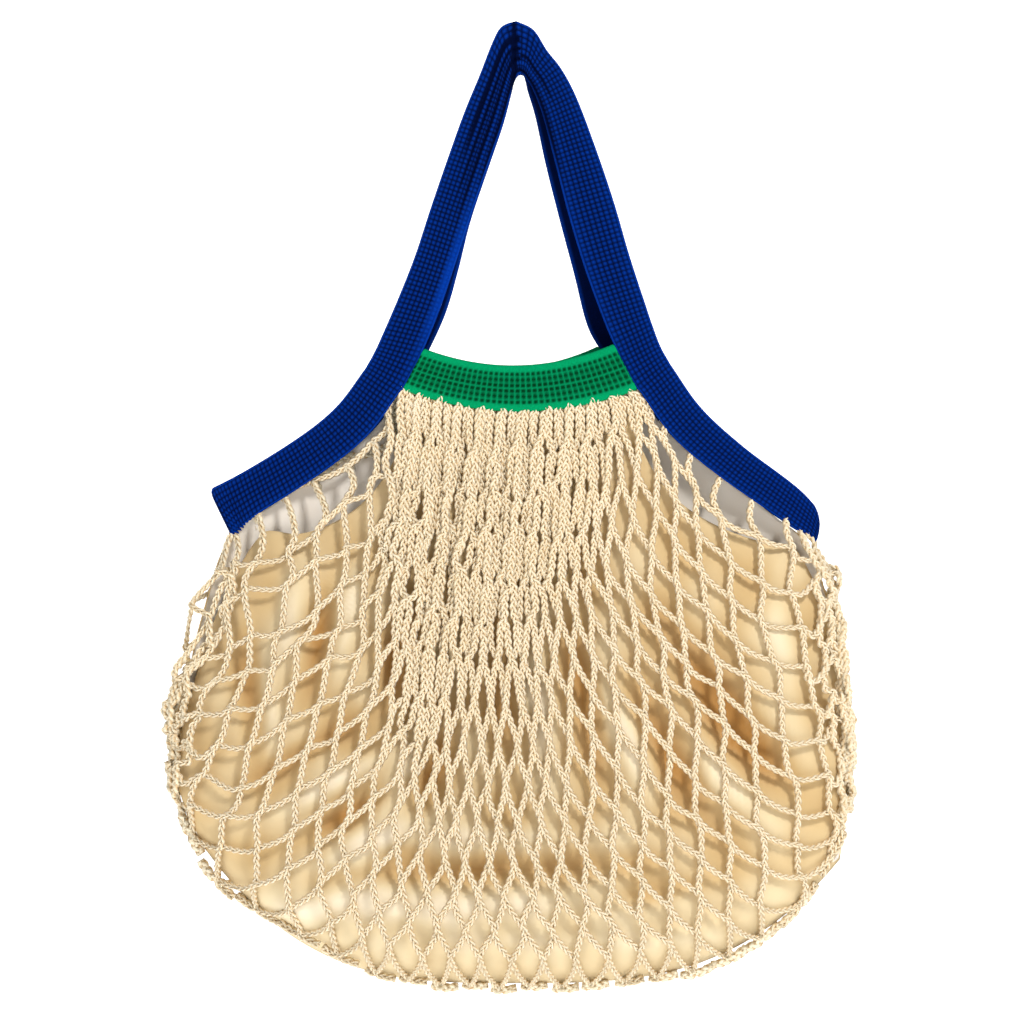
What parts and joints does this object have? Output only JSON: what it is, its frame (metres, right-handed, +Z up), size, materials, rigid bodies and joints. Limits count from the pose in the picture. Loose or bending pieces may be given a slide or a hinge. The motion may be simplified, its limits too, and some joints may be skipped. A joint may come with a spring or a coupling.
{
  "type": "net shopping bag",
  "caption": "Knitted cotton net shopping bag with a loose cloth lining, hanging by tape handles that are drawn together to a point above its gathered mouth",
  "frame": {"origin": "the place just under the handles' peak, where a peg or a hand carries the bag", "axes": "+Z up, against gravity as the bag hangs; +X to the right seen from the front; -Y to the front, through the bag's depth"},
  "size_m": [0.3825, 0.0732, 0.5383],
  "materials": {
    "cotton_cord": "chain-knitted undyed cotton cord",
    "cotton_cloth": "plain undyed cotton cloth, softly creased",
    "blue_tape": "royal blue knitted cotton tape",
    "green_tape": "emerald green knitted cotton tape"
  },
  "bodies": {
    "root": {"net": "cotton_cord", "lining": "cotton_cloth", "tape_front": "blue_tape", "tape_back": "blue_tape", "band_front": "green_tape", "band_back": "green_tape"}
  },
  "joints": []
}
